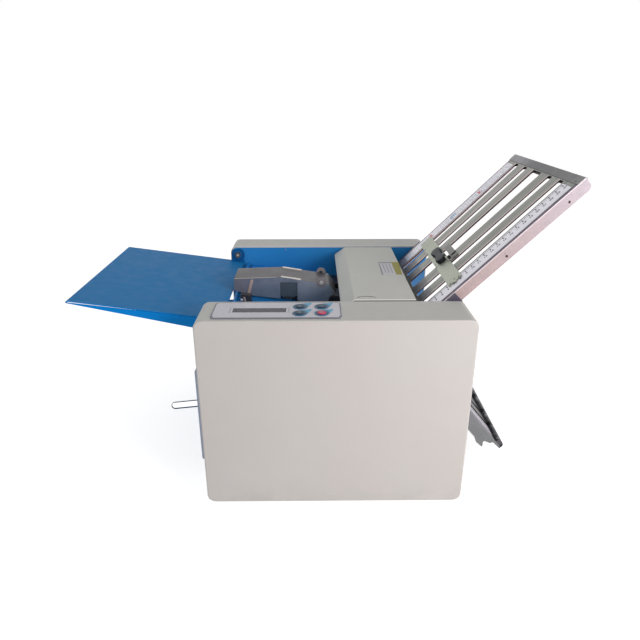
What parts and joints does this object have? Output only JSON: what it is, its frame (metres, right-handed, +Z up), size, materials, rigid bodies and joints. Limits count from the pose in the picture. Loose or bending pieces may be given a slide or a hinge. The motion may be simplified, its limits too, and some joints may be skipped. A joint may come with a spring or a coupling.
{
  "type": "paper folding machine",
  "caption": "Desk paper folder with a sloping feed tray, a feed arm, fold rollers under a cover, and slotted fold plates with sliding stops.",
  "frame": {"origin": "middle of the whole machine's footprint, on the surface that it stands on", "axes": "+X from the feed tray towards the fold plates, +Y from the operator's side to the far side, +Z up"},
  "size_m": [0.7874, 0.4788, 0.5049],
  "materials": {
    "housing_paint": "fine textured powder coat, warm light grey",
    "cover_paint": "fine textured powder coat, light grey",
    "blue_paint": "semi-gloss blue paint",
    "zinc_steel": "zinc-plated steel",
    "bright_steel": "bright plated steel",
    "roller_steel": "ground steel",
    "grid_metal": "satin, grey-green cast",
    "rail_metal": "satin",
    "ruler_plate": "pale printed scale",
    "smoked_metal": "satin smoky grey",
    "black_plastic": "moulded, matt",
    "knob_plastic": "moulded, matt dark grey",
    "grey_plastic": "moulded, satin",
    "red_plastic": "moulded, satin",
    "teal_plastic": "glossy teal",
    "panel_film": "pale lilac-grey film",
    "display_glass": "smoked clear",
    "circuit_board": "green board",
    "rubber": "matt black",
    "pad_rubber": "matt brown",
    "bronze": "sintered bronze",
    "gear_nylon": "natural nylon"
  },
  "bodies": {
    "frame": {"near_housing": "housing_paint", "far_housing": "housing_paint", "rubber_feet": "rubber", "near_side_plate": "blue_paint", "far_side_plate": "blue_paint", "base_pan": "zinc_steel", "tie_bars": "blue_paint", "frame_studs": "bright_steel", "feed_deck": "blue_paint", "separator_pad": "pad_rubber", "sheet_guides": "zinc_steel", "sheet_sensor": "black_plastic", "arm_beam": "zinc_steel", "roller_bushes": "bronze", "drive_motor": "black_plastic", "exit_belt": "rubber", "control_panel": "panel_film", "display_window": "display_glass", "control_board": "circuit_board", "button_rings": "teal_plastic", "power_inlet": "black_plastic", "upper_front_grid": "grid_metal", "upper_back_grid": "grid_metal", "upper_rails": "rail_metal", "lower_front_grid": "grid_metal", "lower_back_grid": "grid_metal", "lower_rails": "rail_metal", "fold_rulers": "ruler_plate", "grid_spacers": "rail_metal", "end_bars": "black_plastic", "rail_brackets": "black_plastic"},
    "feed_tray": {"feed_tray": "blue_paint"},
    "feed_arm": {"feed_arm": "smoked_metal", "arm_fittings": "bright_steel", "roller_cheeks": "black_plastic"},
    "feed_roller": {"feed_roller_hub": "grey_plastic", "feed_roller_tyre": "rubber"},
    "top_roller": {"fold_roller_top": "roller_steel"},
    "middle_roller": {"fold_roller_middle": "roller_steel"},
    "first_fold_roller": {"fold_roller_first": "roller_steel"},
    "second_fold_roller": {"fold_roller_second": "roller_steel", "drive_gears": "gear_nylon"},
    "motor_pinion": {"motor_pinion": "gear_nylon"},
    "exit_roller_lower": {"exit_roller_lower": "rubber"},
    "exit_roller_upper": {"exit_roller_upper": "rubber"},
    "top_cover": {"top_cover": "cover_paint"},
    "side_lever": {"side_lever": "bright_steel"},
    "switch_rocker": {"switch_rocker": "black_plastic"},
    "button_plus": {"button_plus": "grey_plastic"},
    "button_minus": {"button_minus": "grey_plastic"},
    "button_start": {"button_start": "grey_plastic"},
    "button_stop": {"button_stop": "red_plastic"},
    "upper_stop": {"upper_stop_bar": "grid_metal", "upper_stop_clamps": "grid_metal"},
    "upper_lock_knob": {"upper_lock_knob": "knob_plastic"},
    "upper_fine_screw": {"upper_fine_screw": "bright_steel"},
    "lower_stop": {"lower_stop_bar": "grid_metal", "lower_stop_clamps": "grid_metal"},
    "lower_lock_knob": {"lower_lock_knob": "knob_plastic"},
    "lower_fine_screw": {"lower_fine_screw": "bright_steel"}
  },
  "joints": [
    {"name": "tray_hinge", "type": "hinge", "parent": "frame", "child": "feed_tray", "pos_m": [-0.16749, 0.00513, 0.3026], "axis": [0, 1, 0], "range_deg": [0, 95]},
    {"name": "arm_pivot", "type": "hinge", "parent": "frame", "child": "feed_arm", "pos_m": [0.02351, 0.00513, 0.275], "axis": [0, 1, 0], "range_deg": [0, 8]},
    {"name": "feed_roller_spin", "type": "hinge", "parent": "feed_arm", "child": "feed_roller", "pos_m": [-0.05399, 0.00513, 0.28745], "axis": [0, 1, 0], "continuous": true},
    {"name": "middle_roller_spin", "type": "hinge", "parent": "frame", "child": "middle_roller", "pos_m": [0.13501, 0.00513, 0.256], "axis": [0, 1, 0], "continuous": true},
    {"name": "top_roller_spin", "type": "hinge", "parent": "frame", "child": "top_roller", "pos_m": [0.1294, 0.00513, 0.28781], "axis": [0, 1, 0], "continuous": true},
    {"name": "first_fold_roller_spin", "type": "hinge", "parent": "frame", "child": "first_fold_roller", "pos_m": [0.16731, 0.00513, 0.25651], "axis": [0, 1, 0], "continuous": true},
    {"name": "second_fold_roller_spin", "type": "hinge", "parent": "frame", "child": "second_fold_roller", "pos_m": [0.14062, 0.00513, 0.22419], "axis": [0, 1, 0], "continuous": true},
    {"name": "motor_spin", "type": "hinge", "parent": "frame", "child": "motor_pinion", "pos_m": [0.09415, 0.00513, 0.1852], "axis": [0, 1, 0], "continuous": true},
    {"name": "exit_lower_spin", "type": "hinge", "parent": "frame", "child": "exit_roller_lower", "pos_m": [-0.16049, 0.00513, 0.163], "axis": [0, 1, 0], "continuous": true},
    {"name": "exit_upper_spin", "type": "hinge", "parent": "frame", "child": "exit_roller_upper", "pos_m": [-0.15627, 0.00513, 0.18693], "axis": [0, 1, 0], "continuous": true},
    {"name": "cover_hinge", "type": "hinge", "parent": "frame", "child": "top_cover", "pos_m": [0.14251, 0.00513, 0.308], "axis": [0, 1, 0], "range_deg": [0, 80]},
    {"name": "side_lever_pivot", "type": "hinge", "parent": "frame", "child": "side_lever", "pos_m": [-0.17049, -0.15527, 0.1396], "axis": [0, 1, 0], "range_deg": [-8, 8]},
    {"name": "rocker_pivot", "type": "hinge", "parent": "frame", "child": "switch_rocker", "pos_m": [0.12551, 0.23113, 0.062], "axis": [1, 0, 0], "range_deg": [-6, 6]},
    {"name": "button_plus_press", "type": "slide", "parent": "frame", "child": "button_plus", "axis": [0, 0, -1], "range_m": [0, 0.0012], "stiffness_N_per_m": 400},
    {"name": "button_minus_press", "type": "slide", "parent": "frame", "child": "button_minus", "axis": [0, 0, -1], "range_m": [0, 0.0012], "stiffness_N_per_m": 400},
    {"name": "button_start_press", "type": "slide", "parent": "frame", "child": "button_start", "axis": [0, 0, -1], "range_m": [0, 0.0012], "stiffness_N_per_m": 400},
    {"name": "button_stop_press", "type": "slide", "parent": "frame", "child": "button_stop", "axis": [0, 0, -1], "range_m": [0, 0.0012], "stiffness_N_per_m": 400},
    {"name": "upper_stop_slide", "type": "slide", "parent": "frame", "child": "upper_stop", "axis": [-0.7087, 0, -0.7055], "range_m": [-0.185, 0.018]},
    {"name": "upper_lock_turn", "type": "hinge", "parent": "upper_stop", "child": "upper_lock_knob", "pos_m": [0.22009, 0.00513, 0.34032], "axis": [-0.7055, 0, 0.7087], "range_deg": [0, 120]},
    {"name": "upper_fine_screw_spin", "type": "hinge", "parent": "upper_stop", "child": "upper_fine_screw", "pos_m": [0.21317, -0.03487, 0.34232], "axis": [-0.7087, 0, -0.7055], "continuous": true},
    {"name": "lower_stop_slide", "type": "slide", "parent": "frame", "child": "lower_stop", "axis": [-0.6374, 0, 0.7705], "range_m": [-0.0675, 0.028]},
    {"name": "lower_lock_turn", "type": "hinge", "parent": "lower_stop", "child": "lower_lock_knob", "pos_m": [0.24103, 0.00513, 0.13282], "axis": [0.7705, 0, 0.6374], "range_deg": [0, 120]},
    {"name": "lower_fine_screw_spin", "type": "hinge", "parent": "lower_stop", "child": "lower_fine_screw", "pos_m": [0.24365, -0.03487, 0.13954], "axis": [-0.6374, 0, 0.7705], "continuous": true}
  ],
  "couplings": [
    {"joint": "top_roller_spin", "follows": "middle_roller_spin", "ratio": -1},
    {"joint": "first_fold_roller_spin", "follows": "middle_roller_spin", "ratio": -1},
    {"joint": "second_fold_roller_spin", "follows": "middle_roller_spin", "ratio": -1},
    {"joint": "motor_spin", "follows": "middle_roller_spin", "ratio": 4},
    {"joint": "exit_lower_spin", "follows": "middle_roller_spin", "ratio": -1},
    {"joint": "exit_upper_spin", "follows": "middle_roller_spin", "ratio": 1}
  ]
}
